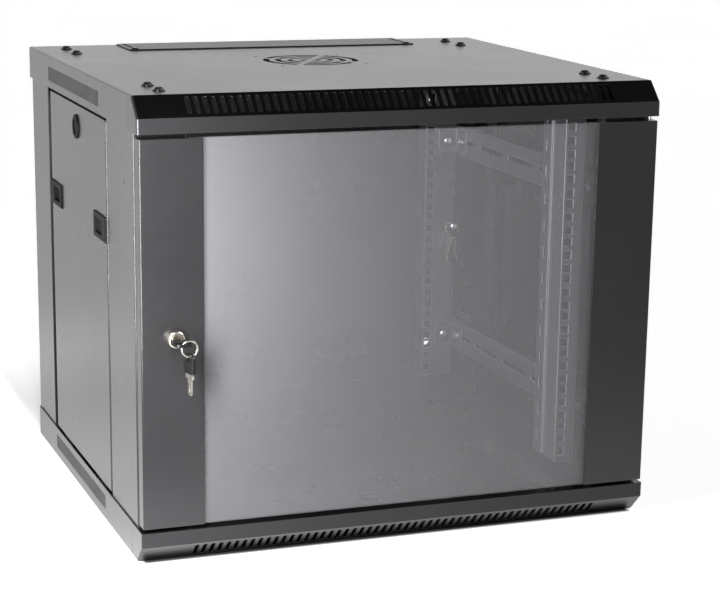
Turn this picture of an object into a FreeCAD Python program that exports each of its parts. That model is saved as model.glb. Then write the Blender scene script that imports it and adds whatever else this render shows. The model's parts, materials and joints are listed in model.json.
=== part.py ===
import FreeCAD, Part
import math
import os

os.makedirs("parts", exist_ok=True)

V = FreeCAD.Vector

# ---------------------------------------------------------------------------
# Driving dimensions, millimetres.  X to the right, Y to the back, Z up.
# The origin is on the base plane, in the middle of the plan outline.
# ---------------------------------------------------------------------------
W = 600.0            # overall width
H = 505.0            # overall height
D = 550.0            # overall depth, hood face to rear edge of the top cover
T = 1.5              # sheet thickness
HOOD = 22.0          # how far the hoods stand in front of the posts
SLOPE = 21.6         # height of the sloping part of a hood
FLANGE = 38.0        # height of the cover flanges and of the hoods
HX = W / 2.0
YD = -D / 2.0        # front face of the door and hoods
YF = YD + HOOD       # front edge of the flat covers
YR = D / 2.0         # rear edge of the top cover
YB = 267.0           # rear edge of the bottom cover and rear panel flange
POST_F = -252.0      # front face of the front posts
POST_R = 265.5       # rear face of the rear posts
PAN_F, PAN_R = -132.0, 155.0      # side panel, front and rear edges
PAN_Z0, PAN_Z1 = 41.5, 463.5      # side panel, bottom and top edges
PAN_C = (PAN_F + PAN_R) / 2.0
LATCH_Z = 342.0      # height of the panel latches
SLOCK_Z = 438.6      # height of the panel lock
DOOR_Z0, DOOR_Z1 = 42.5, 462.0
DOOR_X = 298.0       # half width of the door
DOOR_BACK = -257.0
STILE_L = -230.0     # inner edge of the left stile
STILE_R = 224.5      # inner edge of the right stile
PIN_X, PIN_Y, PIN_RAD = 293.0, -264.5, 2.0
LOCK_X, LOCK_Z = -261.5, 251.5
UNIT = 44.45         # one rack unit
UNITS = 9
HOLE_X = 465.1 / 2.0
SQ = 9.5             # square rack hole
RAIL_Z0 = H / 2.0 - UNITS * UNIT / 2.0 - 6.0
RAIL_Z1 = H / 2.0 + UNITS * UNIT / 2.0 + 6.0
RAIL_F = -193.0      # face of the front rails
RAIL_R = 232.0       # face of the rear rails
BR_HI, BR_LO = 372.0, 105.0       # centre heights of the depth brackets
FAN_X, FAN_Y = -6.0, 38.0         # centre of the fan grille in the top cover
FAN_C = 105.0        # fan screw spacing
# cover screws: distance in from the side and place along the depth
SCREWS_LEFT = [(-261.5, -219.0), (-261.5, -172.0), (-261.5, 173.0), (-261.5, 231.0)]
SCREWS_RIGHT = [(254.5, -221.0), (254.5, -175.0), (246.0, 172.0), (246.0, 224.0)]
WALL_X, WALL_Z = 247.0, (84.0, 421.0)      # wall bolt holes

made = []


def save(name, shape):
    shape = shape.removeSplitter() if shape.ShapeType != "Compound" else shape
    assert shape.isValid(), name
    shape.exportStep("parts/%s.step" % name)
    made.append(name)
    print("%-28s solids %3d  volume %10.1f" % (name, len(shape.Solids), shape.Volume))


def box(x0, x1, y0, y1, z0, z1):
    return Part.makeBox(abs(x1 - x0), abs(y1 - y0), abs(z1 - z0), V(min(x0, x1), min(y0, y1), min(z0, z1)))


def cyl(r, a, b):
    a, b = V(*a), V(*b)
    d = b - a
    return Part.makeCylinder(r, d.Length, a, d)


def cone(r1, r2, a, b):
    a, b = V(*a), V(*b)
    d = b - a
    return Part.makeCone(r1, r2, d.Length, a, d)


def fuse(parts):
    s = parts[0]
    if len(parts) > 1:
        s = s.multiFuse(parts[1:])
    return s.removeSplitter()


def cut(s, tools):
    return s.cut(tools) if tools else s


def prism_x(pts, x0, x1):
    w = Part.makePolygon([V(x0, y, z) for y, z in pts] + [V(x0, pts[0][0], pts[0][1])])
    return Part.Face(w).extrude(V(x1 - x0, 0, 0))


def mirror_x(s):
    return s.mirror(V(0, 0, 0), V(1, 0, 0))


def mirror_y(s, yc):
    return s.mirror(V(0, yc, 0), V(0, 1, 0))


def mirror_z(s):
    return s.mirror(V(0, 0, H / 2.0), V(0, 0, 1))


def compound(shapes):
    solids = []
    for s in shapes:
        solids += s.Solids
    return Part.makeCompound(solids)


def stadium(length, width, depth):
    # slot along local X, in the local XY plane, cut along local Z, centred
    r = width / 2.0
    h = length / 2.0 - r
    e = [
        Part.LineSegment(V(-h, -r, 0), V(h, -r, 0)).toShape(),
        Part.Arc(V(h, -r, 0), V(h + r, 0, 0), V(h, r, 0)).toShape(),
        Part.LineSegment(V(h, r, 0), V(-h, r, 0)).toShape(),
        Part.Arc(V(-h, r, 0), V(-h - r, 0, 0), V(-h, -r, 0)).toShape(),
    ]
    s = Part.Face(Part.Wire(e)).extrude(V(0, 0, depth))
    s.translate(V(0, 0, -depth / 2.0))
    return s


def place(s, origin, xdir, zdir):
    x, z = V(*xdir), V(*zdir)
    x.normalize()
    z.normalize()
    y = z.cross(x)
    m = FreeCAD.Matrix(x.x, y.x, z.x, origin[0], x.y, y.y, z.y, origin[1], x.z, y.z, z.z, origin[2], 0, 0, 0, 1)
    t = s.copy()
    t.transformShape(m, True)
    return t


def fillet(s, r, test):
    edges = [e for e in s.Edges if test(e)]
    return s.makeFillet(r, edges) if edges else s


def direction(e):
    a, b = e.Vertexes[0].Point, e.Vertexes[-1].Point
    d = b - a
    return d / d.Length if d.Length > 1e-9 else V(0, 0, 0)


def mid(e):
    return e.BoundBox.Center


def hexnut(af, thick, hole, c, axis):
    pts = [V(af / math.sqrt(3) * math.cos(math.radians(60 * k)), af / math.sqrt(3) * math.sin(math.radians(60 * k)), 0) for k in range(7)]
    n = Part.Face(Part.makePolygon(pts)).extrude(V(0, 0, thick))
    n = n.cut(Part.makeCylinder(hole, thick + 2, V(0, 0, -1)))
    a = V(*axis)
    ref = V(1, 0, 0) if abs(a.x) < 0.5 else V(0, 1, 0)
    return place(n, c, tuple(ref), axis)


def panscrew(head_r, head_h, shank_r, length, c, axis):
    # c is the point under the head, axis points from the head towards the tip
    prof = [V(0, 0, -head_h), V(head_r * 0.62, 0, -head_h), V(head_r * 0.9, 0, -head_h * 0.66), V(head_r, 0, -head_h * 0.2), V(head_r, 0, 0),
            V(shank_r, 0, 0), V(shank_r, 0, length - 0.8), V(shank_r - 0.7, 0, length), V(0, 0, length), V(0, 0, -head_h)]
    s = Part.Face(Part.makePolygon(prof)).revolve(V(0, 0, 0), V(0, 0, 1), 360)
    s = Part.Solid(s) if s.ShapeType != "Solid" else s
    if s.Volume < 0:
        s.reverse()
    w = head_r * 0.95
    arm = 1.1
    cross = box(-w / 2, w / 2, -arm / 2, arm / 2, -head_h - 1, -head_h + min(1.4, head_h * 0.5)).fuse(
        box(-arm / 2, arm / 2, -w / 2, w / 2, -head_h - 1, -head_h + min(1.4, head_h * 0.5)))
    s = s.cut(cross)
    a = V(*axis)
    ref = V(1, 0, 0) if abs(a.x) < 0.5 else V(0, 1, 0)
    return place(s, c, tuple(ref), axis)


# ---------------------------------------------------------------------------
# Covers and hoods: one folded outline, parted where the real sheets meet
# ---------------------------------------------------------------------------
def cover_shell(rear):
    z0 = H - FLANGE
    pts = [(YD, z0), (YD, H - SLOPE), (YF, H), (rear, H), (rear, z0)]
    outer = prism_x(pts, -HX, HX)

    def side_edge(e):
        m = mid(e)
        return abs(abs(m.x) - HX) < 1e-6 and m.z > z0 + 1e-3 and (e.BoundBox.XLength < 1e-6)

    def rear_top(e):
        m = mid(e)
        return abs(m.y - rear) < 1e-6 and abs(m.z - H) < 1e-6 and e.BoundBox.XLength > 100

    outer = fillet(outer, 2.5, lambda e: side_edge(e) or rear_top(e))
    n = V(0, SLOPE, -HOOD)
    n.normalize()
    p = V(0, YF, H) + n * T                      # on the inner slope line
    k = SLOPE / HOOD
    z_at = lambda y: p.z + (y - p.y) * k
    y_at = lambda z: p.y + (z - p.z) / k
    inner = prism_x([(YD + T, z0 - 5), (YD + T, z_at(YD + T)), (y_at(H - T), H - T), (rear - T, H - T), (rear - T, z0 - 5)], -HX + T, HX - T)
    return outer.cut(inner)


def split_cover(shell, rear):
    z0 = H - FLANGE
    hood_zone = [box(-400, 400, YD - 5, YF, z0 - 5, H + 5),
                 box(HX - T, HX + 5, YF, -231, z0 - 5, H - 2.6),
                 box(-HX - 5, -HX + T, YF, -231, z0 - 5, H - 2.6)]
    zone = fuse(hood_zone)
    hood = shell.common(zone)
    seam = [box(HX - T - 0.01, HX + 5, YF - 1, -230.5, z0 - 5, H - 2.6), box(-HX - 5, -HX + T + 0.01, YF - 1, -230.5, z0 - 5, H - 2.6)]
    cover = shell.cut([zone] + seam)
    # lower lip of the hood and the tongue that is welded under the flat sheet
    lip = box(-HX + 0.5, HX - 0.5, YD + 0.5, YF, z0, z0 + T)
    tongue = box(-238, 238, YF - 1.0, -235, H - 2 * T, H - T).cut(cover)
    hood = fuse([hood, lip, tongue])
    return cover, hood


def hood_slots(n, pitch, length, width):
    # a row of slots on the sloping face
    cy, cz = (YD + YF) / 2.0, H - SLOPE / 2.0
    along = (0, HOOD, SLOPE)
    normal = (0, -SLOPE, HOOD)
    tools = []
    s = stadium(length, width, 8.0)
    for i in range(n):
        x = (i - (n - 1) / 2.0) * pitch
        tools.append(place(s, (x, cy, cz), along, normal))
    return tools


def side_vents(z_mid):
    # fine upright slots through both side flanges
    n = 49
    pitch = 5.4
    y0 = 26.5
    tools = []
    s = stadium(17.5, 2.8, 2 * W)
    for i in range(n):
        y = y0 + (i - (n - 1) / 2.0) * pitch
        tools.append(place(s, (0, y, z_mid), (0, 0, 1), (1, 0, 0)))
    return tools


def fan_grille():
    # four broken rings and four spokes, with the fan screw holes
    rings = [(8.0, 14.0), (22.0, 28.5), (36.0, 43.0), (50.0, 57.5)]
    bars = []
    for k in range(4):
        b = box(0, 70, -3.6, 3.6, H - 10, H + 10)
        b.rotate(V(0, 0, 0), V(0, 0, 1), 58 + 90 * k)
        b.translate(V(FAN_X, FAN_Y, 0))
        bars.append(b)
    tools = []
    for r0, r1 in rings:
        ring = Part.makeCylinder(r1, 10, V(FAN_X, FAN_Y, H - 5)).cut(Part.makeCylinder(r0, 12, V(FAN_X, FAN_Y, H - 6)))
        ring = ring.cut(bars)
        tools += ring.Solids
    for sx in (-1, 1):
        for sy in (-1, 1):
            tools.append(cyl(2.25, (FAN_X + sx * FAN_C / 2, FAN_Y + sy * FAN_C / 2, H - 5), (FAN_X + sx * FAN_C / 2, FAN_Y + sy * FAN_C / 2, H + 5)))
    return tools


shell_top = cover_shell(YR)
top_cover, top_hood = split_cover(shell_top, YR)
ENTRY = (-175.0, 175.0, 201.0, 262.0)            # cable entry in the top cover
entry_hole = box(ENTRY[0], ENTRY[1], ENTRY[2], ENTRY[3], H - 4, H + 4)
entry_hole = fillet(entry_hole, 4.0, lambda e: e.BoundBox.ZLength > 4)
tools = side_vents(483.9) + fan_grille() + [entry_hole]
for x, y in SCREWS_LEFT + SCREWS_RIGHT:
    tools.append(cyl(3.3, (x, y, H - 5), (x, y, H + 5)))
top_cover = cut(top_cover, tools)
# two headed studs that hold the sliding plate of the cable entry
STUD_X, STUD_Y, SLIDE = 181.0, 202.5, 60.0
PLATE_T = 1.5
studs = []
for sx in (-1, 1):
    studs += [cyl(2.0, (sx * STUD_X, STUD_Y, H - 0.5), (sx * STUD_X, STUD_Y, H + PLATE_T + 0.4)), cyl(4.2, (sx * STUD_X, STUD_Y, H + PLATE_T + 0.2), (sx * STUD_X, STUD_Y, H + PLATE_T + 1.4))]
top_cover = fuse([top_cover] + studs)
top_hood = cut(top_hood, hood_slots(52, 9.5, 23.0, 5.0) + [cyl(PIN_RAD + 0.02, (PIN_X, PIN_Y, H - FLANGE - 3), (PIN_X, PIN_Y, H - FLANGE + 5))])
save("top_cover", top_cover)
save("top_hood", top_hood)

shell_low = cover_shell(YB)
low_cover, low_hood = split_cover(shell_low, YB)
low_hood = cut(low_hood, hood_slots(53, 9.13, 21.5, 4.4) + [cyl(PIN_RAD + 0.02, (PIN_X, PIN_Y, H - FLANGE - 3), (PIN_X, PIN_Y, H - FLANGE + 5))])
low_hood = mirror_z(low_hood)
low_cover = cut(low_cover, side_vents(483.9))
low_cover = mirror_z(low_cover)
LOW_ENTRY = (-175.0, 175.0, 186.0, 250.0)        # open cable entry in the floor
low_hole = fillet(box(LOW_ENTRY[0], LOW_ENTRY[1], LOW_ENTRY[2], LOW_ENTRY[3], -4, 4), 4.0, lambda e: e.BoundBox.ZLength > 4)
low_cover = cut(low_cover, [low_hole])
save("bottom_cover", low_cover)
save("bottom_hood", low_hood)

# sliding plate over the top cable entry, slotted for the two studs
plate = box(-189.0, 189.0, 194.0, 270.0, H + 0.05, H + 0.05 + PLATE_T)
plate = fillet(plate, 2.0, lambda e: e.BoundBox.ZLength > 1.4)
plate = cut(plate, [place(stadium(SLIDE + 4.3, 4.3, 10.0), (sx * STUD_X, STUD_Y + SLIDE / 2.0, H + 1.0), (0, 1, 0), (0, 0, 1)) for sx in (-1, 1)])
save("cable_entry_plate", plate)

# ---------------------------------------------------------------------------
# Corner posts, one folded sheet each (left ones, mirrored for the right)
# ---------------------------------------------------------------------------
XO = -HX + T         # outer face of the posts
Z0, Z1 = T, H - T
JOG = -289.0         # inner face of the recessed ledge behind the panel edges


def edge_round(s, r, x, y):
    return fillet(s, r, lambda e: abs(mid(e).x - x) < 1e-4 and abs(mid(e).y - y) < 1e-4 and e.BoundBox.ZLength > 300)


FP_J = -136.0        # rear edge of the outer face of the front posts


def front_post(with_lock, screws):
    jy = FP_J
    solid = [
        box(XO, XO + T, POST_F, jy, Z0, Z1),
        box(XO, -242.0, POST_F, POST_F + T, Z0, Z1),
        box(-243.5, -242.0, POST_F, -236.0, Z0 + 2, Z1 - 2),
        box(XO, JOG, jy - T, jy, 26.0, 455.0),
        box(JOG - T, JOG, jy - T, -124.0, 26.0, 455.0),
        box(XO, -239.0, POST_F, jy - T, Z1 - T, Z1),
        box(XO, -245.0, POST_F, jy - T, Z0, Z0 + T),
    ]
    s = fuse(solid)
    s = edge_round(s, 1.2, XO, POST_F)
    t = []
    for x, y in screws[:2]:
        t.append(cyl(3.3, (-abs(x), y, Z1 - 5), (-abs(x), y, Z1 + 5)))
    t.append(cyl(2.5, (-310, -212.5, 409.0), (-290, -212.5, 409.0)))
    if with_lock:
        hole = box(LOCK_X - 14.5, LOCK_X + 13.5, POST_F - 2, POST_F + 3, LOCK_Z - 44, LOCK_Z + 16)
        t.append(fillet(hole, 4.0, lambda e: e.BoundBox.YLength > 4 and e.BoundBox.XLength < 1e-6 and e.BoundBox.ZLength < 1e-6))
    return cut(s, t)


def rear_post(screws):
    jy = 172.0
    solid = [
        box(XO, XO + T, jy, POST_R, Z0, Z1),
        box(XO, -242.0, POST_R - T, POST_R, Z0, Z1),
        box(-243.5, -242.0, 250.0, POST_R, Z0 + 2, Z1 - 2),
        box(XO, JOG, jy, jy + T, 26.0, 455.0),
        box(JOG - T, JOG, 147.0, jy + T, 26.0, 455.0),
        box(XO, -233.0, jy + T, POST_R, Z1 - T, Z1),
        box(-288.0, -233.0, 158.0, jy + T + 1, Z1 - T, Z1),
        box(XO, -245.0, jy + T, POST_R, Z0, Z0 + T),
    ]
    s = fuse(solid)
    s = edge_round(s, 1.2, XO, POST_R)
    t = []
    for x, y in screws[2:]:
        t.append(cyl(3.3, (-abs(x), y, Z1 - 5), (-abs(x), y, Z1 + 5)))
    for z in (70.0, 192.0, 313.0, 435.0):
        t.append(cyl(2.45, (-272.0, POST_R - 5, z), (-272.0, POST_R + 5, z)))
    # clear the heads of the wall bolts
    for z in WALL_Z:
        t.append(cyl(9.0, (-WALL_X, POST_R - 5, z), (-WALL_X, POST_R + 5, z)))
        t.append(box(-245.0, -241.0, 249.0, POST_R - T, z - 12.0, z + 12.0))
    return cut(s, t)


save("front_post_left", front_post(True, SCREWS_LEFT))
save("front_post_right", mirror_x(front_post(False, SCREWS_RIGHT)))
save("rear_post_left", rear_post(SCREWS_LEFT))
save("rear_post_right", mirror_x(rear_post(SCREWS_RIGHT)))

# upper side rails that the tops of the side panels rest on
srail = fuse([box(JOG - T, JOG, FP_J, 172.0, 455.0, 471.0), box(JOG - 8.0, JOG, FP_J, FP_J + T, 464.5, 471.0), box(JOG - 8.0, JOG, 170.5, 172.0, 464.5, 471.0)])
save("side_rail_left", srail)
save("side_rail_right", mirror_x(srail))

# ---------------------------------------------------------------------------
# Rear panel: a shallow pan, its raised field level with the rear of the top cover
# ---------------------------------------------------------------------------
flat = box(-294.0, 294.0, POST_R, POST_R + T, FLANGE + 0.3, H - FLANGE - 0.3)
field = fillet(box(-259.0, 259.0, POST_R, YR, 58.0, 447.0), 5.0, lambda e: e.BoundBox.YLength > 5 and e.BoundBox.XLength < 1e-6 and e.BoundBox.ZLength < 1e-6)
field_in = fillet(box(-257.5, 257.5, POST_R - 1, YR - T, 59.5, 445.5), 3.5, lambda e: e.BoundBox.YLength > 5 and e.BoundBox.XLength < 1e-6 and e.BoundBox.ZLength < 1e-6)
rear = fuse([flat, field]).cut(field_in)
t = []
for sx in (-1, 1):
    for z in WALL_Z:
        t.append(cyl(5.0, (sx * WALL_X, YR - 5, z), (sx * WALL_X, YR + 5, z)))
    for z in (70.0, 192.0, 313.0, 435.0):
        t.append(cyl(2.6, (sx * 272.0, POST_R - 5, z), (sx * 272.0, POST_R + 5, z)))
rear = cut(rear, t)
save("rear_panel", rear)
save("rear_panel_screws", compound([panscrew(4.6, 2.4, 2.4, 9.0, (sx * 272.0, POST_R + T, z), (0, -1, 0)) for sx in (-1, 1) for z in (70.0, 192.0, 313.0, 435.0)]))

# ---------------------------------------------------------------------------
# Depth brackets, welded across each side between the posts
# ---------------------------------------------------------------------------
BX = 270.0           # inner face of a bracket web


def depth_bracket(zc):
    z0, z1 = zc - 20.0, zc + 20.0
    parts = [
        box(-BX - T, -BX, -213.0, 237.0, z0, z1),
        box(-BX - 10.0, -BX, -211.5, 235.5, z1 - T, z1),
        box(-BX - 10.0, -BX, -211.5, 235.5, z0, z0 + T),
        box(-HX + 3.0, -BX, -213.0, -211.5, z0, z1),
        box(-HX + 3.0, -BX, 235.5, 237.0, z0, z1),
        box(-HX + 3.0, -HX + 4.5, -245.0, -211.5, z0, z1),
        box(-HX + 3.0, -HX + 4.5, 235.5, 262.0, z0, z1),
    ]
    s = fuse(parts)
    t = []
    for y0, y1 in ((-200, -115), (-100, -25), (-10, 65), (80, 155), (170, 228)):
        t.append(place(stadium(y1 - y0, 7.0, 6.0), (-BX, (y0 + y1) / 2.0, zc), (0, 1, 0), (1, 0, 0)))
    return cut(s, t)


save("depth_bracket_upper_left", depth_bracket(BR_HI))
save("depth_bracket_lower_left", depth_bracket(BR_LO))
save("depth_bracket_upper_right", mirror_x(depth_bracket(BR_HI)))
save("depth_bracket_lower_right", mirror_x(depth_bracket(BR_LO)))

# ---------------------------------------------------------------------------
# 19-inch mounting rails with square holes, three to each unit
# ---------------------------------------------------------------------------
FL_Y = -134.0        # rear face of the fixing flange of a front rail


def rack_holes(y):
    t = []
    base = H / 2.0 - UNITS * UNIT / 2.0
    for u in range(UNITS):
        for dz in (6.35, 22.225, 38.1):
            z = base + u * UNIT + dz
            t.append(box(-HOLE_X - SQ / 2, -HOLE_X + SQ / 2, y - 3, y + 4, z - SQ / 2, z + SQ / 2))
    return t


def front_rail():
    y = RAIL_F
    s = fuse([
        box(-250.0, -225.0, y, y + T, RAIL_Z0, RAIL_Z1),
        box(-250.0, -248.5, y, y + 12.0, RAIL_Z0, RAIL_Z1),
        box(-226.5, -225.0, y, -166.0, RAIL_Z0, RAIL_Z1),
        box(-229.0, -225.0, -167.5, -166.0, RAIL_Z0, RAIL_Z1),
        box(-229.0, -227.5, -167.5, -154.5, RAIL_Z0, RAIL_Z1),
        box(-229.0, -225.0, -156.0, -154.5, RAIL_Z0, RAIL_Z1),
        box(-226.5, -225.0, -156.0, FL_Y, RAIL_Z0, RAIL_Z1),
        box(-268.5, -225.0, FL_Y - T, FL_Y, RAIL_Z0, RAIL_Z1),
    ])
    t = rack_holes(y)
    for k in range(13):
        z = RAIL_Z0 + 23.0 + k * 31.75
        t.append(place(stadium(14.0, 5.0, 6.0), (-225.7, -145.0, z), (0, 0, 1), (1, 0, 0)))
    for zc in (BR_HI, BR_LO):
        t.append(cyl(3.3, (-249.0, FL_Y - 5, zc), (-249.0, FL_Y + 5, zc)))
    return cut(s, t)


def rear_rail(key_hole):
    y = RAIL_R
    s = fuse([
        box(-268.5, -225.0, y, y + T, RAIL_Z0, RAIL_Z1),
        box(-226.5, -225.0, y, y + 26.0, RAIL_Z0, RAIL_Z1),
    ])
    t = rack_holes(y)
    for zc in (BR_HI, BR_LO):
        t.append(cyl(3.3, (-256.0, y - 5, zc), (-256.0, y + 5, zc)))
    if key_hole:
        t.append(cyl(3.0, (-KEY_X, y - 5, KEY_Z), (-KEY_X, y + 5, KEY_Z)))
    return cut(s, t)


KEY_X, KEY_Z = 260.0, 258.0      # screw that the spare keys hang on
save("mounting_rail_front_left", front_rail())
save("mounting_rail_front_right", mirror_x(front_rail()))
save("mounting_rail_rear_left", rear_rail(False))
save("mounting_rail_rear_right", mirror_x(rear_rail(True)))

# angle clips between the rails and the depth brackets, and their hardware
clips, rscrews, nuts = [], [], []
for zc in (BR_HI, BR_LO):
    z0, z1 = zc - 15.0, zc + 15.0
    for kind in ("front", "rear"):
        if kind == "front":
            yf = FL_Y - T
            legs = [box(-268.5, -236.0, yf - T, yf, z0, z1), box(-BX, -BX + T, yf - 54.0, yf, z0, z1)]
            ys, xs = yf - T, -249.0
            yb = yf - 32.0
            back = FL_Y
        else:
            yf = RAIL_R
            legs = [box(-268.5, -243.0, yf - T, yf, z0, z1), box(-BX, -BX + T, yf - 34.0, yf, z0, z1)]
            ys, xs = yf - T, -256.0
            yb = yf - 20.0
            back = yf + T
        c = fuse(legs)
        c = cut(c, [cyl(3.3, (xs, ys - 5, zc), (xs, ys + 5, zc)), cyl(3.3, (-BX - 5, yb, zc), (-BX + 5, yb, zc))])
        group = [c, panscrew(5.8, 3.2, 2.9, 13.0, (xs, ys, zc), (0, 1, 0)), hexnut(10.0, 5.0, 3.0, (xs, back, zc), (0, 1, 0)),
                 panscrew(5.8, 3.2, 2.9, 13.0, (-BX + T, yb, zc), (-1, 0, 0)), hexnut(10.0, 5.0, 3.0, (-BX - T, yb, zc), (-1, 0, 0))]
        for mirrored in (False, True):
            g = [mirror_x(q) if mirrored else q for q in group]
            clips.append(g[0])
            rscrews += [g[1], g[3]]
            nuts += [g[2], g[4]]
rscrews.append(panscrew(5.5, 3.2, 2.9, 28.0, (KEY_X, RAIL_R - 20.0, KEY_Z), (0, 1, 0)))
nuts.append(hexnut(10.0, 5.0, 3.0, (KEY_X, RAIL_R + T, KEY_Z), (0, 1, 0)))
save("rail_clips", compound(clips))
save("rail_screws", compound(rscrews))

# screws that hold the top cover to the posts
cscrews = []
for x, y in SCREWS_LEFT + SCREWS_RIGHT:
    flange = cyl(7.0, (x, y, H), (x, y, H + 1.1)).cut(cyl(2.0, (x, y, H - 1), (x, y, H + 3)))
    cscrews.append(fuse([panscrew(5.4, 3.9, 2.9, 12.0, (x, y, H), (0, 0, -1)), flange]))
    nuts.append(hexnut(10.0, 5.0, 3.0, (x, y, Z1 - T), (0, 0, -1)))
save("cover_screws", compound(cscrews))
save("m6_nuts", compound(nuts))

# ---------------------------------------------------------------------------
# Side panels, latches and locks (left, mirrored for the right)
# ---------------------------------------------------------------------------
PX = -299.0          # outer face of the left panel
SL_R = 9.5


def latch_window(yc_dir):
    # opening in the panel for a latch body at its front edge
    return box(PX - 3, PX + 4, -119.6, -76.4, LATCH_Z - 11.6, LATCH_Z + 11.6)


def side_panel():
    outer = box(PX, PX + 8.0, PAN_F, PAN_R, PAN_Z0, PAN_Z1)
    outer = fillet(outer, 2.5, lambda e: e.BoundBox.XLength > 4 and e.BoundBox.YLength < 1e-3 and e.BoundBox.ZLength < 1e-3)
    outer = fillet(outer, 1.4, lambda e: abs(mid(e).x - PX) < 1e-4)
    inner = box(PX + T, PX + 12.0, PAN_F + T, PAN_R - T, PAN_Z0 + T, PAN_Z1 - T)
    s = outer.cut(inner)
    tongues = [box(PX + T, PX + 2 * T, y0, y0 + 40.0, 28.0, PAN_Z0 + 14.0) for y0 in (-100.0, 83.0)]
    s = fuse([s] + tongues)
    t = [latch_window(0), mirror_y(latch_window(0), PAN_C), cyl(SL_R + 0.2, (PX - 4, PAN_C, SLOCK_Z), (PX + 4, PAN_C, SLOCK_Z))]
    return cut(s, t)


def latch_housing():
    # bezel on the panel face and a body behind it, pocketed for the slider
    bez = box(PX - 2.0, PX, -131.0, -74.0, LATCH_Z - 14.5, LATCH_Z + 14.5)
    bez = fillet(bez, 1.4, lambda e: abs(mid(e).x - (PX - 2.0)) < 1e-6 or e.BoundBox.XLength > 1.5)
    body = box(PX, PX + 15.0, -119.0, -77.0, LATCH_Z - 11.0, LATCH_Z + 11.0)
    s = fuse([bez, body])
    pocket = box(PX - 3.0, PX + 13.0, -115.0, -81.0, LATCH_Z - 8.5, LATCH_Z + 8.5)
    slot = box(PX + 10.0, PX + 13.0, -121.0, -110.0, LATCH_Z - 6.0, LATCH_Z + 6.0)
    return cut(s, [pocket, slot])


def latch_slider():
    # thumb block with ribs, and the flat bolt that passes behind the ledge;
    # drawn back here, it moves 13 towards the post to lock
    y0 = -101.0
    blk = box(PX + 0.6, PX + 12.7, y0, y0 + 19.5, LATCH_Z - 8.2, LATCH_Z + 8.2)
    blk = blk.cut(box(PX, PX + 9.0, y0 + 4.5, y0 + 12.0, LATCH_Z - 6.0, LATCH_Z + 6.0))
    ribs = [box(PX + 0.1, PX + 0.8, y0 + 13.4 + 2.0 * k, y0 + 14.4 + 2.0 * k, LATCH_Z - 6.5, LATCH_Z + 6.5) for k in range(3)]
    bolt = box(PX + 10.4, PX + 12.6, y0 - 21.0, y0 + 2.0, LATCH_Z - 5.6, LATCH_Z + 5.6)
    bolt = fillet(bolt, 1.0, lambda e: abs(mid(e).y - (y0 - 21.0)) < 1e-6 and e.BoundBox.ZLength > 5)
    return fuse([blk, bolt] + ribs)


def lock_housing_side():
    s = fuse([cyl(14.0, (PX - 2.2, PAN_C, SLOCK_Z), (PX, PAN_C, SLOCK_Z)), cyl(SL_R, (PX, PAN_C, SLOCK_Z), (PX + 12.0, PAN_C, SLOCK_Z))])
    s = fillet(s, 1.2, lambda e: abs(mid(e).x - (PX - 2.2)) < 1e-6)
    return s.cut(fuse([cyl(6.55, (PX - 3, PAN_C, SLOCK_Z), (PX + 13, PAN_C, SLOCK_Z)), cone(11.0, 8.6, (PX - 2.3, PAN_C, SLOCK_Z), (PX - 0.4, PAN_C, SLOCK_Z))]))


def lock_plug_side():
    s = fuse([cyl(6.5, (PX - 0.8, PAN_C, SLOCK_Z), (PX + 12.4, PAN_C, SLOCK_Z)), cyl(3.0, (PX + 12.4, PAN_C, SLOCK_Z), (PX + 16.4, PAN_C, SLOCK_Z))])
    return s.cut(box(PX - 2, PX + 8.0, PAN_C - 1.2, PAN_C + 1.2, SLOCK_Z - 4.0, SLOCK_Z + 4.0))


def lock_cam_side():
    # lies level when unlocked, turns up behind the side rail to lock
    x0, x1 = PX + 12.4, PX + 14.4
    s = fuse([cyl(7.0, (x0, PAN_C, SLOCK_Z), (x1, PAN_C, SLOCK_Z)), box(x0, x1, PAN_C, PAN_C + 22.0, SLOCK_Z - 6.0, SLOCK_Z + 6.0), cyl(6.0, (x0, PAN_C + 22.0, SLOCK_Z), (x1, PAN_C + 22.0, SLOCK_Z))])
    nut = hexnut(8.0, 2.0, 3.0, (x1, PAN_C, SLOCK_Z), (1, 0, 0))
    return fuse([s.cut(cyl(3.0, (x0 - 1, PAN_C, SLOCK_Z), (x1 + 1, PAN_C, SLOCK_Z))), nut])


for side, m in (("left", False), ("right", True)):
    f = mirror_x if m else (lambda q: q)
    save("side_panel_%s" % side, f(side_panel()))
    save("latch_housings_%s" % side, compound([f(latch_housing()), f(mirror_y(latch_housing(), PAN_C))]))
    save("latch_slider_front_%s" % side, f(latch_slider()))
    save("latch_slider_rear_%s" % side, f(mirror_y(latch_slider(), PAN_C)))
    save("panel_lock_housing_%s" % side, f(lock_housing_side()))
    save("panel_lock_plug_%s" % side, f(lock_plug_side()))
    save("panel_lock_cam_%s" % side, f(lock_cam_side()))

# ---------------------------------------------------------------------------
# Door: two folded stiles and a full-height pane
# ---------------------------------------------------------------------------
PANE_F, PANE_B = YD + 2.3, YD + 7.3
PANE_X0, PANE_X1 = STILE_L - 13.0, STILE_R + 13.0


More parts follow.
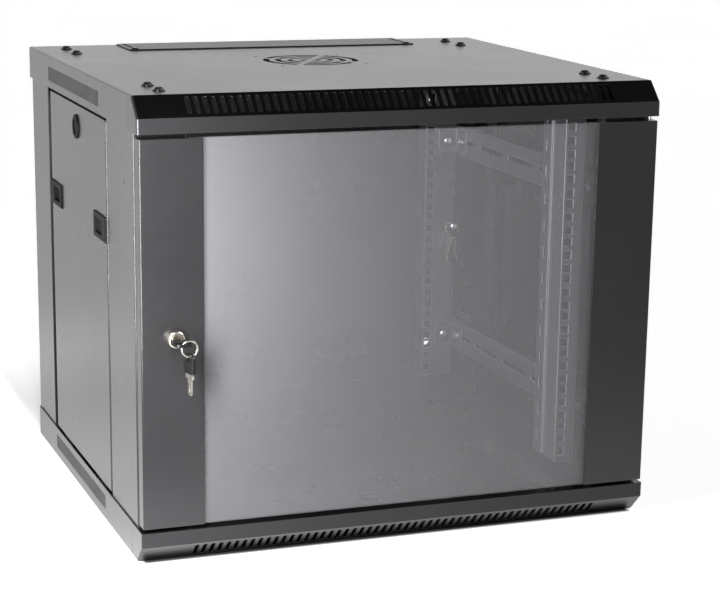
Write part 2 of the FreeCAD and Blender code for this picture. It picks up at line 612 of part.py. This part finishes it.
def stile(inner, x_out, sgn):
    # sgn +1: the outer side is at -x (left stile); -1: at +x (right stile)
    z0, z1 = DOOR_Z0, DOOR_Z1
    web = inner - sgn * 17.0
    s = fuse([
        box(x_out, inner, YD, YD + T, z0, z1),
        box(x_out, x_out + sgn * T, YD, DOOR_BACK, z0, z1),
        box(x_out, x_out + sgn * 14.0, DOOR_BACK - T, DOOR_BACK, z0, z1),
        box(web, web - sgn * T, YD, DOOR_BACK, z0, z1),
        box(web, web - sgn * 14.0, DOOR_BACK - T, DOOR_BACK, z0, z1),
        box(x_out, web, YD, DOOR_BACK, z0, z0 + T),
        box(x_out, web, YD, DOOR_BACK, z1 - T, z1),
    ])
    s = fillet(s, 1.4, lambda e: abs(mid(e).x - x_out) < 1e-4 and abs(mid(e).y - YD) < 1e-4 and e.BoundBox.ZLength > 300)
    s = fillet(s, 0.7, lambda e: abs(mid(e).x - inner) < 1e-4 and abs(mid(e).y - YD) < 1e-4 and e.BoundBox.ZLength > 300)
    return s


left = stile(STILE_L, -DOOR_X, 1)
left = cut(left, [cyl(8.5, (LOCK_X, YD - 5, LOCK_Z), (LOCK_X, YD + 5, LOCK_Z)), box(LOCK_X - 4.0, LOCK_X + 11.9, DOOR_BACK - 3, DOOR_BACK + 1, LOCK_Z - 14.0, LOCK_Z + 14.0)])
save("door_stile_left", left)
BUSH_R = 3.2
right = stile(STILE_R, DOOR_X, -1)
right = cut(right, [cyl(BUSH_R, (PIN_X, PIN_Y, DOOR_Z0 - 5), (PIN_X, PIN_Y, DOOR_Z0 + 5)), cyl(BUSH_R, (PIN_X, PIN_Y, DOOR_Z1 - 5), (PIN_X, PIN_Y, DOOR_Z1 + 5))])
save("door_stile_right", right)
pane = box(PANE_X0, PANE_X1, PANE_F, PANE_B, DOOR_Z0, DOOR_Z1)
pane = fillet(pane, 0.6, lambda e: e.BoundBox.YLength < 1e-3)
save("door_pane", pane)
save("pane_bonding_strips", compound([box(PANE_X0 + 0.5, STILE_L - 0.8, YD + T, PANE_F, DOOR_Z0 + 1, DOOR_Z1 - 1), box(STILE_R + 0.8, PANE_X1 - 0.5, YD + T, PANE_F, DOOR_Z0 + 1, DOOR_Z1 - 1)]))


def bush(z_out, sgn):
    # sgn +1: the bush reaches up into the stile from its bottom edge
    s = fuse([cyl(BUSH_R, (PIN_X, PIN_Y, z_out), (PIN_X, PIN_Y, z_out + sgn * 12.0))])
    return s.cut(cyl(PIN_RAD + 0.05, (PIN_X, PIN_Y, z_out - 5), (PIN_X, PIN_Y, z_out + sgn * 20.0)) if sgn > 0 else cyl(PIN_RAD + 0.05, (PIN_X, PIN_Y, z_out + 5), (PIN_X, PIN_Y, z_out - 20.0)))


save("hinge_bushes", compound([bush(DOOR_Z0, 1), bush(DOOR_Z1, -1)]))
lo_pin = fuse([cyl(PIN_RAD, (PIN_X, PIN_Y, FLANGE - 6.0), (PIN_X, PIN_Y, DOOR_Z0 + 11.0)), cyl(3.6, (PIN_X, PIN_Y, FLANGE - 4.5), (PIN_X, PIN_Y, FLANGE - T))])
hi_pin = fuse([cyl(PIN_RAD, (PIN_X, PIN_Y, DOOR_Z1 - 11.0), (PIN_X, PIN_Y, H - FLANGE + 9.0)), cyl(3.6, (PIN_X, PIN_Y, H - FLANGE + T), (PIN_X, PIN_Y, H - FLANGE + T + 3.0))])
save("hinge_pin_lower", lo_pin)
save("hinge_pin_upper", hi_pin)
save("door_bumpers", compound([fillet(cyl(4.5, (-287.0, DOOR_BACK + 0.4, z), (-287.0, POST_F, z)), 1.0, lambda e: abs(mid(e).y - (DOOR_BACK + 0.4)) < 1e-6) for z in (80.0, 425.0)]))

# ---------------------------------------------------------------------------
# Door lock, its key, the ring and the second key
# ---------------------------------------------------------------------------
LX, LZ = LOCK_X, LOCK_Z
HEAD_Y = YD - 9.5
HEAD_R, BODY_R, PLUG_R = 9.6, 8.4, 5.85
housing = fuse([cyl(HEAD_R, (LX, HEAD_Y, LZ), (LX, YD, LZ)), cyl(BODY_R, (LX, YD, LZ), (LX, -250.6, LZ))])
housing = fillet(housing, 2.8, lambda e: abs(mid(e).y - HEAD_Y) < 1e-6)
housing = housing.cut(cyl(PLUG_R + 0.05, (LX, HEAD_Y - 2, LZ), (LX, -249.0, LZ)))
save("door_lock_housing", housing)
ring_nut = cyl(11.0, (LX, YD + T, LZ), (LX, YD + T + 4.0, LZ)).cut(cyl(BODY_R, (LX, YD - 2, LZ), (LX, YD + 9, LZ)))
save("door_lock_nut", ring_nut)

plug = fuse([cyl(PLUG_R, (LX, HEAD_Y - 0.6, LZ), (LX, -250.0, LZ)), cyl(3.0, (LX, -250.0, LZ), (LX, -244.6, LZ))])
plug = plug.cut(box(LX - 4.3, LX + 4.3, HEAD_Y - 2, HEAD_Y + 21.0, LZ - 1.3, LZ + 1.3))
save("door_lock_plug", plug)
cam_y0, cam_y1 = -250.0, -248.0
cam = fuse([cyl(7.5, (LX, cam_y0, LZ), (LX, cam_y1, LZ)), box(LX - 6.5, LX + 6.5, cam_y0, cam_y1, LZ - 24.0, LZ), cyl(6.5, (LX, cam_y0, LZ - 24.0), (LX, cam_y1, LZ - 24.0))])
cam = fuse([cam.cut(cyl(3.0, (LX, cam_y0 - 1, LZ), (LX, cam_y1 + 1, LZ))), hexnut(9.0, 3.0, 3.0, (LX, cam_y1, LZ), (0, 1, 0))])
save("door_lock_cam", cam)

GRIP_L, GRIP_W = 21.5, 19.0        # moulded grip of a key
COLLAR = 5.5                       # bare metal shoulder between grip and blade
BLADE_L = 18.0                     # part that goes into the lock
HOLE_IN = 4.8                      # ring hole, from the end of the grip
KEY_HOLE = 3.2
ROOT = 6.0                         # metal moulded into the grip


def blade():
    # flat key along +Y, grip end at y = 0, 2 thick in X
    c, e = COLLAR, COLLAR + BLADE_L
    pts = [(-ROOT, -3.9), (0.0, -3.9), (0.0, -6.6), (0.8, -7.2), (c - 1.2, -7.2), (c, -6.2), (c, -3.9), (e - 1.6, -3.9), (e, -2.4), (e, 1.0), (e - 2.6, 3.2), (e - 4.0, 1.9), (e - 6.2, 3.6), (e - 8.0, 1.6), (e - 10.0, 3.4), (e - 12.2, 1.2), (e - 14.0, 3.7), (e - 15.6, 2.8), (c, 3.9), (c, 6.2), (c - 1.2, 7.2), (0.8, 7.2), (0.0, 6.6), (0.0, 3.9), (-ROOT, 3.9)]
    w = Part.makePolygon([V(-1.0, a, b) for a, b in pts] + [V(-1.0, pts[0][0], pts[0][1])])
    s = Part.Face(w).extrude(V(2.0, 0, 0))
    return s.cut([box(-2.0, -0.6, c + 1.0, e - 2.5, -1.6, -0.6), box(0.6, 2.0, c + 1.0, e - 2.5, -0.9, 0.1)])


def grip():
    # thick behind the shoulder, thinner round the ring hole
    hw = GRIP_W / 2.0
    core = box(-2.3, 2.3, -GRIP_L, 0.0, -hw, hw)
    core = fillet(core, 6.0, lambda e: e.BoundBox.XLength > 4 and abs(mid(e).y + GRIP_L) < 1e-6)
    core = fillet(core, 2.2, lambda e: e.BoundBox.XLength > 4 and abs(mid(e).y) < 1e-6)
    core = fillet(core, 0.6, lambda e: abs(abs(mid(e).x) - 2.3) < 1e-6)
    y0 = -GRIP_L + 8.6
    s = core.cut([box(-4, -1.6, -GRIP_L - 1, y0, -hw - 1, hw + 1), box(1.6, 4, -GRIP_L - 1, y0, -hw - 1, hw + 1)])
    s = s.cut([cyl(KEY_HOLE, (-5, -GRIP_L + HOLE_IN, 0), (5, -GRIP_L + HOLE_IN, 0)),
               box(-3, -1.9, -8.2, -2.2, -6.0, 6.0), box(1.9, 3, -8.2, -2.2, -6.0, 6.0)])
    return s.cut(box(-1.0, 1.0, -ROOT, 1.0, -3.9, 3.9))


KY = HEAD_Y - 1.0 - COLLAR         # where grip and metal shoulder of the first key meet
hole_y = KY - GRIP_L + HOLE_IN


def in_lock(s):
    # laid flat, its blade level in the slot
    t = s.copy()
    t.rotate(V(0, 0, 0), V(0, 1, 0), 90)
    t.translate(V(LX, KY, LZ))
    return t


save("door_key_blade", in_lock(blade()))
save("door_key_grip", in_lock(grip()))
# split ring of two turns, through the hole and round the side of the first grip
RING_IN, RING_OUT, RING_W = 7.6, 9.3, 2.4
ring_x, ring_z = LX + 6.9, LZ - 4.5
ring = cyl(RING_OUT, (ring_x, hole_y - RING_W / 2.0, ring_z), (ring_x, hole_y + RING_W / 2.0, ring_z))
ring = ring.cut(cyl(RING_IN, (ring_x, hole_y - 3, ring_z), (ring_x, hole_y + 3, ring_z)))
ring = fillet(ring, 0.35, lambda e: True)
groove = cyl(RING_OUT + 1.0, (ring_x, hole_y - 0.15, ring_z), (ring_x, hole_y + 0.15, ring_z)).cut(cyl(RING_OUT - 0.35, (ring_x, hole_y - 2, ring_z), (ring_x, hole_y + 2, ring_z)))
save("key_ring", ring.cut(groove))
low_z = ring_z - RING_IN           # inner side of the ring at its lowest point
TWIST = 15.0


def hanging(s):
    # blade down by its ring hole, twisted a little about the vertical
    t = s.copy()
    t.translate(V(0, GRIP_L - HOLE_IN, 0))
    t.rotate(V(0, 0, 0), V(1, 0, 0), -90)
    t.rotate(V(0, 0, 0), V(0, 0, 1), TWIST)
    t.translate(V(ring_x, hole_y, low_z + 1.0 - KEY_HOLE))
    return t


save("second_key_blade", hanging(blade()))
save("second_key_grip", hanging(grip()))


def torus(r, rr, c, normal):
    return Part.makeTorus(r, rr, V(*c), V(*normal))


# spare keys that hang inside on a screw of the rear right rail
SR, SW = 9.0, 0.7
sy = RAIL_R - 12.5
s_ring_z = KEY_Z + 2.9 + 0.3 + SW - SR
spare_ring = torus(SR, SW, (KEY_X, sy, s_ring_z), (0, 1, 0))


def plain_key(angle):
    # thin all-metal key, hung on the ring at the given angle from its lowest point
    bow = box(-1.0, 1.0, -8.5, 8.5, -13.0, 3.4)
    bow = fillet(bow, 5.0, lambda e: e.BoundBox.XLength > 1.5)
    s = fuse([bow, box(-1.0, 1.0, -3.6, 3.6, -36.0, -12.0)])
    s = fillet(s, 1.8, lambda e: e.BoundBox.XLength > 1.5 and abs(mid(e).z + 36.0) < 1e-6)
    s = s.cut([cyl(2.2, (-3, 0, 0), (3, 0, 0)), box(0.5, 2, -0.8, 0.6, -36.5, -15.0)])
    for k, d in enumerate((1.2, 2.0, 0.9, 1.7)):
        s = s.cut(box(-2, 2, 3.6 - d, 5, -33.0 + 4.4 * k, -31.2 + 4.4 * k))
    s.translate(V(0, 0, -(2.2 - SW - 0.3)))
    s.translate(V(0, 0, -SR))
    s.rotate(V(0, 0, 0), V(0, 1, 0), angle)
    s.translate(V(KEY_X, sy, s_ring_z))
    return s


save("spare_key_ring", spare_ring)
save("spare_keys", compound([plain_key(10.0), plain_key(-10.0)]))

print(len(made), "nodes")
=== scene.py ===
import json
import math

import bpy
from mathutils import Matrix, Vector

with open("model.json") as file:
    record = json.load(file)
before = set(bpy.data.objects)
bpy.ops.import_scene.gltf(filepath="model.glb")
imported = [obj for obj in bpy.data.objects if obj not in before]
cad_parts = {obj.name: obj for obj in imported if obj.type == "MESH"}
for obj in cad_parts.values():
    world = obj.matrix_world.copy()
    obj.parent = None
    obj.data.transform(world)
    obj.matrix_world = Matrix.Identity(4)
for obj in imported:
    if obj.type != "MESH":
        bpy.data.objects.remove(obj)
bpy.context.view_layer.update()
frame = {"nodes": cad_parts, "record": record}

scene = bpy.context.scene
nodes = frame["nodes"]


# ---------------------------------------------------------------------------
# Materials
# ---------------------------------------------------------------------------
def new_mat(name):
    m = bpy.data.materials.new(name)
    m.use_nodes = True
    t = m.node_tree
    for n in list(t.nodes):
        t.nodes.remove(n)
    out = t.nodes.new("ShaderNodeOutputMaterial")
    p = t.nodes.new("ShaderNodeBsdfPrincipled")
    t.links.new(p.outputs["BSDF"], out.inputs["Surface"])
    return m, t, p


def coords(t, scale=(1, 1, 1)):
    c = t.nodes.new("ShaderNodeTexCoord")
    mp = t.nodes.new("ShaderNodeMapping")
    mp.inputs["Scale"].default_value = scale
    t.links.new(c.outputs["Object"], mp.inputs["Vector"])
    return mp.outputs["Vector"]


def noise(t, vec, scale, detail=3.0, rough=0.55):
    n = t.nodes.new("ShaderNodeTexNoise")
    n.inputs["Scale"].default_value = scale
    n.inputs["Detail"].default_value = detail
    n.inputs["Roughness"].default_value = rough
    t.links.new(vec, n.inputs["Vector"])
    return n.outputs["Fac"]


def spread(t, fac, lo, hi, a=0.3, b=0.7):
    r = t.nodes.new("ShaderNodeMapRange")
    r.inputs["From Min"].default_value = a
    r.inputs["From Max"].default_value = b
    r.inputs["To Min"].default_value = lo
    r.inputs["To Max"].default_value = hi
    t.links.new(fac, r.inputs["Value"])
    return r.outputs["Result"]


def ramp(t, fac, stops):
    r = t.nodes.new("ShaderNodeValToRGB")
    e = r.color_ramp.elements
    while len(e) > 1:
        e.remove(e[-1])
    e[0].position, e[0].color = stops[0][0], (*stops[0][1], 1)
    for pos, col in stops[1:]:
        k = e.new(pos)
        k.color = (*col, 1)
    t.links.new(fac, r.inputs["Fac"])
    return r.outputs["Color"]


def mix(t, fac, a, b):
    m = t.nodes.new("ShaderNodeMix")
    m.data_type = "RGBA"
    t.links.new(fac, m.inputs[0])
    for i, v in ((6, a), (7, b)):
        if isinstance(v, tuple):
            m.inputs[i].default_value = (*v, 1)
        else:
            t.links.new(v, m.inputs[i])
    return m.outputs[2]


def bump(t, height, strength, dist, normal=None):
    b = t.nodes.new("ShaderNodeBump")
    b.inputs["Strength"].default_value = strength
    b.inputs["Distance"].default_value = dist
    t.links.new(height, b.inputs["Height"])
    if normal is not None:
        t.links.new(normal, b.inputs["Normal"])
    return b.outputs["Normal"]


def rounded(t, radius):
    b = t.nodes.new("ShaderNodeBevel")
    b.samples = 4
    b.inputs["Radius"].default_value = radius
    return b.outputs["Normal"]


def edge_mask(t, radius, lo=0.05, hi=0.35):
    # 1 on sharp edges, 0 on flat faces
    soft = rounded(t, radius)
    g = t.nodes.new("ShaderNodeNewGeometry")
    d = t.nodes.new("ShaderNodeVectorMath")
    d.operation = "DOT_PRODUCT"
    t.links.new(soft, d.inputs[0])
    t.links.new(g.outputs["Normal"], d.inputs[1])
    r = t.nodes.new("ShaderNodeMapRange")
    r.inputs["From Min"].default_value = 1.0 - lo
    r.inputs["From Max"].default_value = 1.0 - hi
    r.inputs["To Min"].default_value = 0.0
    r.inputs["To Max"].default_value = 1.0
    t.links.new(d.outputs["Value"], r.inputs["Value"])
    return r.outputs["Result"]


def powder(name, dark, light, rough, spec=0.5, grain=0.10, bend=0.0012, edge_wear_and_highlight=None, cover=0.0):
    m, t, p = new_mat(name)
    v = coords(t)
    broad = noise(t, v, 7.0, 4.0)
    fine = noise(t, v, 900.0, 2.0)
    peel = noise(t, v, 260.0, 2.0)
    col = ramp(t, broad, [(0.3, dark), (0.7, light)])
    edge = edge_mask(t, max(bend, 0.0012))
    # edges take a lighter colour: abraded coat on most parts, and on the rails a painted highlight along the bends
    edge_wear_and_highlight = edge_wear_and_highlight or tuple(min(1.0, c * 2.2 + 0.01) for c in light)
    edge_wear_and_highlight_mix = t.nodes.new("ShaderNodeMath")
    edge_wear_and_highlight_mix.operation = "MULTIPLY"
    t.links.new(edge, edge_wear_and_highlight_mix.inputs[0])
    t.links.new(spread(t, noise(t, v, 60.0, 4.0), cover, 0.8 + 0.2 * cover, 0.42, 0.66), edge_wear_and_highlight_mix.inputs[1])
    t.links.new(mix(t, edge_wear_and_highlight_mix.outputs[0], col, edge_wear_and_highlight), p.inputs["Base Color"])
    t.links.new(spread(t, broad, rough - 0.012, rough + 0.012), p.inputs["Roughness"])
    p.inputs["Specular IOR Level"].default_value = spec
    p.inputs["Specular Tint"].default_value = (0.985, 0.958, 1.0, 1.0)
    n = rounded(t, bend)
    n = bump(t, peel, grain * 0.5, 0.00012, n)
    n = bump(t, fine, grain, 0.00006, n)
    t.links.new(n, p.inputs["Normal"])
    return m


def metal(name, a, b, rough, scratch=(1, 1, 1), fleck=90.0, bumps=0.12):
    m, t, p = new_mat(name)
    v = coords(t, scratch)
    n1 = noise(t, v, fleck, 5.0, 0.6)
    n2 = noise(t, v, fleck * 9.0, 3.0)
    t.links.new(ramp(t, n1, [(0.3, a), (0.7, b)]), p.inputs["Base Color"])
    p.inputs["Metallic"].default_value = 1.0
    t.links.new(spread(t, n1, rough - 0.06, rough + 0.08), p.inputs["Roughness"])
    n = bump(t, n2, bumps, 0.0001, rounded(t, 0.0003))
    t.links.new(n, p.inputs["Normal"])
    return m


def plastic(name, a, b, rough, grain, scale=1400.0, spec=0.5):
    m, t, p = new_mat(name)
    v = coords(t)
    n1 = noise(t, v, 35.0, 4.0)
    n2 = noise(t, v, scale, 2.0)
    t.links.new(ramp(t, n1, [(0.3, a), (0.7, b)]), p.inputs["Base Color"])
    t.links.new(spread(t, n1, rough - 0.05, rough + 0.06), p.inputs["Roughness"])
    p.inputs["Specular IOR Level"].default_value = spec
    n = bump(t, n2, grain, 0.0001, rounded(t, 0.0004))
    t.links.new(n, p.inputs["Normal"])
    return m


def glass(name):
    m, t, p = new_mat(name)
    v = coords(t)
    smear = noise(t, v, 3.0, 5.0, 0.6)
    dust = noise(t, v, 300.0, 2.0)
    t.links.new(ramp(t, smear, [(0.25, (0.50, 0.49, 0.52)), (0.75, (0.54, 0.53, 0.56))]), p.inputs["Base Color"])
    t.links.new(spread(t, smear, 0.03, 0.07), p.inputs["Roughness"])
    p.inputs["IOR"].default_value = 1.52
    p.inputs["Specular IOR Level"].default_value = 1.0
    p.inputs["Coat Weight"].default_value = 1.0
    p.inputs["Coat Roughness"].default_value = 0.03
    t.links.new(spread(t, dust, 0.0985, 0.1035), p.inputs["Alpha"])
    return m


MAT = {
    "powder_coat": powder("powder_coat_black", (0.0172, 0.0169, 0.0180), (0.0200, 0.0197, 0.0208), 0.27),
    # painted shade: a darker copy of the coat for the door stiles and the top hood's upright faces
    "door_coat_painted_shade": powder("powder_coat_door_painted_shade", (0.0085, 0.0083, 0.0088), (0.0115, 0.0112, 0.0118), 0.27),
    # painted shade: a near-black copy of the coat for the top hood's slopes and the slot walls
    "painted_shade_coat": powder("powder_coat_painted_shade", (0.0012, 0.0012, 0.0013), (0.0018, 0.0018, 0.0020), 0.30, spec=0.12),
    "plate_coat": powder("powder_coat_plate", (0.013, 0.013, 0.0138), (0.017, 0.017, 0.018), 0.34, spec=0.45),
    # painted shade: a darker copy of the coat for the bottom hood
    "hood_coat_painted_shade": powder("powder_coat_hood_painted_shade", (0.004, 0.004, 0.0043), (0.006, 0.006, 0.0064), 0.24, spec=0.42),
    # painted highlight: the rails' edges get a pale colour along nearly their whole length
    "rail_coat": powder("powder_coat_rails", (0.050, 0.050, 0.053), (0.064, 0.064, 0.068), 0.28, spec=0.9, bend=0.0020, edge_wear_and_highlight=(0.52, 0.51, 0.53), cover=0.75),
    "tempered_glass": glass("door_glass"),
    "black_rubber": plastic("black_rubber", (0.012, 0.012, 0.012), (0.02, 0.02, 0.02), 0.75, 0.25, 700.0),
    "black_plastic": plastic("black_plastic", (0.003, 0.003, 0.0032), (0.006, 0.006, 0.0063), 0.55, 0.2, spec=0.12),
    "key_plastic": plastic("key_plastic", (0.003, 0.003, 0.0032), (0.006, 0.006, 0.0062), 0.34, 0.06, spec=0.25),
    "lock_chrome": metal("lock_chrome", (0.50, 0.46, 0.39), (0.66, 0.62, 0.54), 0.24, fleck=60.0, bumps=0.05),
    "nickel_steel": metal("key_nickel", (0.40, 0.38, 0.34), (0.56, 0.54, 0.49), 0.30, (1, 1, 3), 120.0, 0.12),
    "zinc_steel": metal("zinc_plate", (0.56, 0.57, 0.58), (0.76, 0.77, 0.78), 0.34, fleck=160.0, bumps=0.15),
    "black_screws": plastic("black_zinc", (0.012, 0.012, 0.013), (0.022, 0.022, 0.024), 0.32, 0.08),
}

slots = {s["node"]: s["material_slot"] for s in frame["record"]["subparts"]}
for name, obj in nodes.items():
    key = slots.get(name, "powder_coat")
    if name.startswith("door_stile"):
        key = "door_coat_painted_shade"
    if name == "bottom_hood":
        key = "hood_coat_painted_shade"
    if name == "top_hood":
        key = "door_coat_painted_shade"
    if name == "cable_entry_plate":
        key = "plate_coat"
    obj.data.materials.clear()
    obj.data.materials.append(MAT[key])
    obj.data.materials.append(MAT["painted_shade_coat"])
    for poly in obj.data.polygons:
        # painted shade: the sloping faces of the top hood get a darker copy of the coat than its upright ones
        steep = name == "top_hood" and 0.4 < poly.normal.z < 0.95 and abs(poly.normal.x) < 0.1
        # painted shade: the walls of the fine slots in the side flanges get the same dark copy of the coat
        c = poly.center
        slot = name in ("top_cover", "bottom_cover") and abs(c.x) > 0.2984 and abs(c.x) < 0.29995 and abs(poly.normal.x) < 0.3 and -0.12 < c.y < 0.17 and abs(c.z - 0.2525) > 0.215 and abs(c.z - 0.2525) < 0.243
        poly.material_index = 1 if steep or slot else 0
    if name not in ("top_hood", "top_cover", "bottom_cover"):
        obj.data.materials.pop(index=1)


# ---------------------------------------------------------------------------
# Floor, light and camera
# ---------------------------------------------------------------------------
FLOOR_GLOW = 0.51


def floor_mat():
    m, t, p = new_mat("floor_paper")
    v = coords(t)
    n = noise(t, v, 1.2, 3.0)
    p.inputs["Roughness"].default_value = 0.7
    p.inputs["Specular IOR Level"].default_value = 0.1
    p.inputs["Emission Color"].default_value = (1.0, 1.0, 1.0, 1.0)
    # glowing paper floor; painted shadow beneath the object (dark colour, no glow) and painted shade towards the front
    # right (weaker glow)
    sep = t.nodes.new("ShaderNodeSeparateXYZ")
    t.links.new(v, sep.inputs[0])

    def step(sock, lo, hi):
        r = t.nodes.new("ShaderNodeMapRange")
        r.interpolation_type = "SMOOTHSTEP"
        r.inputs["From Min"].default_value = lo
        r.inputs["From Max"].default_value = hi
        t.links.new(sock, r.inputs["Value"])
        return r.outputs["Result"]

    def op(kind, a, b=None):
        q = t.nodes.new("ShaderNodeMath")
        q.operation = kind
        for i, w in enumerate((a, b)):
            if w is None:
                continue
            if isinstance(w, float):
                q.inputs[i].default_value = w
            else:
                t.links.new(w, q.inputs[i])
        return q.outputs[0]

    # painted shade: the glow fades towards the front right
    side = op("MULTIPLY", step(sep.outputs["X"], -0.25, 0.75), step(op("MULTIPLY", sep.outputs["Y"], -1.0), 0.50, 0.95))
    painted_shadow_beneath = op("MULTIPLY", step(op("ABSOLUTE", sep.outputs["X"]), 0.297, 0.290), step(op("ABSOLUTE", sep.outputs["Y"]), 0.266, 0.256))
    lit = op("MULTIPLY", op("SUBTRACT", 1.0, op("MULTIPLY", side, 0.96)), op("SUBTRACT", 1.0, painted_shadow_beneath))
    # painted light: extra glow on the left, filling in where the object's own shade falls
    painted_fill_band = op("MULTIPLY", step(sep.outputs["X"], -0.85, -0.50), step(sep.outputs["X"], -0.285, -0.305))
    reach = op("MULTIPLY", step(sep.outputs["Y"], -0.12, 0.16), step(sep.outputs["Y"], 1.10, 0.70))
    lit = op("ADD", lit, op("MULTIPLY", op("MULTIPLY", painted_fill_band, reach), 0.70))
    t.links.new(op("MULTIPLY", lit, FLOOR_GLOW), p.inputs["Emission Strength"])
    paper = ramp(t, n, [(0.3, (0.86, 0.86, 0.86)), (0.7, (0.88, 0.88, 0.88))])
    # painted shadow: the paper colour turns dark beneath the object
    t.links.new(mix(t, painted_shadow_beneath, paper, (0.08, 0.08, 0.08)), p.inputs["Base Color"])
    return m


bpy.ops.mesh.primitive_plane_add(size=80.0, location=(0, 0, -0.0006))
floor = bpy.context.object
floor.name = "floor"
floor.data.materials.append(floor_mat())

world = bpy.data.worlds.new("studio")
scene.world = world
world.use_nodes = True
wt = world.node_tree
for n in list(wt.nodes):
    wt.nodes.remove(n)
wo = wt.nodes.new("ShaderNodeOutputWorld")
wb = wt.nodes.new("ShaderNodeBackground")
wc = wt.nodes.new("ShaderNodeTexCoord")
ws = wt.nodes.new("ShaderNodeSeparateXYZ")
wr = wt.nodes.new("ShaderNodeValToRGB")
wt.links.new(wc.outputs["Generated"], ws.inputs["Vector"])
wt.links.new(ws.outputs["Z"], wr.inputs["Fac"])
e = wr.color_ramp.elements
e[0].position, e[0].color = 0.0, (1.0, 1.0, 1.0, 1)
e[1].position, e[1].color = 1.0, (0.006, 0.006, 0.006, 1)
k = e.new(0.22); k.color = (0.92, 0.92, 0.92, 1)
k = e.new(0.50); k.color = (0.05, 0.05, 0.05, 1)
k = e.new(0.75); k.color = (0.006, 0.006, 0.006, 1)
wt.links.new(wr.outputs["Color"], wb.inputs["Color"])
# brighter wall behind the object than in front of it
wy = wt.nodes.new("ShaderNodeMapRange")
wy.interpolation_type = "SMOOTHSTEP"
wy.inputs["From Min"].default_value = -0.6
wy.inputs["From Max"].default_value = 0.7
wy.inputs["To Min"].default_value = 0.5
wy.inputs["To Max"].default_value = 1.15
wt.links.new(ws.outputs["Y"], wy.inputs["Value"])
wt.links.new(wy.outputs["Result"], wb.inputs["Strength"])
wt.links.new(wb.outputs["Background"], wo.inputs["Surface"])


def area(name, loc, target, size, power, col=(1, 1, 1), size_y=None, gloss=1.0):
    l = bpy.data.lights.new(name, "AREA")
    l.energy = power
    l.color = col
    l.shape = "RECTANGLE"
    l.size = size
    l.size_y = size_y or size
    l.specular_factor = gloss
    o = bpy.data.objects.new(name, l)
    scene.collection.objects.link(o)
    o.location = loc
    d = Vector(target) - Vector(loc)
    o.rotation_mode = "QUATERNION"
    o.rotation_quaternion = d.to_track_quat("-Z", "Y")
    o.visible_camera = False
    return o


sun_data = bpy.data.lights.new("soft_sun", "SUN")
sun_data.energy = 2.3
sun_data.angle = math.radians(26.0)
sun = bpy.data.objects.new("soft_sun", sun_data)
scene.collection.objects.link(sun)
sun.rotation_mode = "QUATERNION"
sun.rotation_quaternion = (-Vector((0.87, -0.50, 0.75))).to_track_quat("-Z", "Y")

# narrow upright lamp near the left front: the pane's haze is brightest beside it
area("pane_strip", (-0.43, -0.50, 0.36), (-0.28, -0.27, 0.32), 0.08, 7.4, size_y=0.40, gloss=0.12)

cam_data = bpy.data.cameras.new("camera")
cam = bpy.data.objects.new("camera", cam_data)
scene.collection.objects.link(cam)
F, CX, CY = 2041.63, 360.0, 360.0
YAW, PITCH, ROLL = 0.355425, -0.248008, 0.013458
LOC = Vector((-0.804574, -2.044848 - 0.253, 0.758684))
fw = Vector((math.sin(YAW) * math.cos(PITCH), math.cos(YAW) * math.cos(PITCH), math.sin(PITCH)))
rt = Vector((math.cos(YAW), -math.sin(YAW), 0.0))
up = rt.cross(fw)
r2 = math.cos(ROLL) * rt + math.sin(ROLL) * up
u2 = -math.sin(ROLL) * rt + math.cos(ROLL) * up
m4 = Matrix((
    (r2.x, u2.x, -fw.x, LOC.x),
    (r2.y, u2.y, -fw.y, LOC.y),
    (r2.z, u2.z, -fw.z, LOC.z),
    (0, 0, 0, 1),
))
cam.matrix_world = m4
cam_data.sensor_fit = "HORIZONTAL"
cam_data.sensor_width = 36.0
cam_data.lens = F / 720.0 * 36.0
cam_data.shift_x = 0.0
cam_data.shift_y = (CY - 300.0) / 720.0
cam_data.clip_start = 0.05
cam_data.clip_end = 200.0
cam_data.dof.use_dof = False
scene.camera = cam

scene.view_settings.view_transform = "Standard"
scene.view_settings.look = "None"
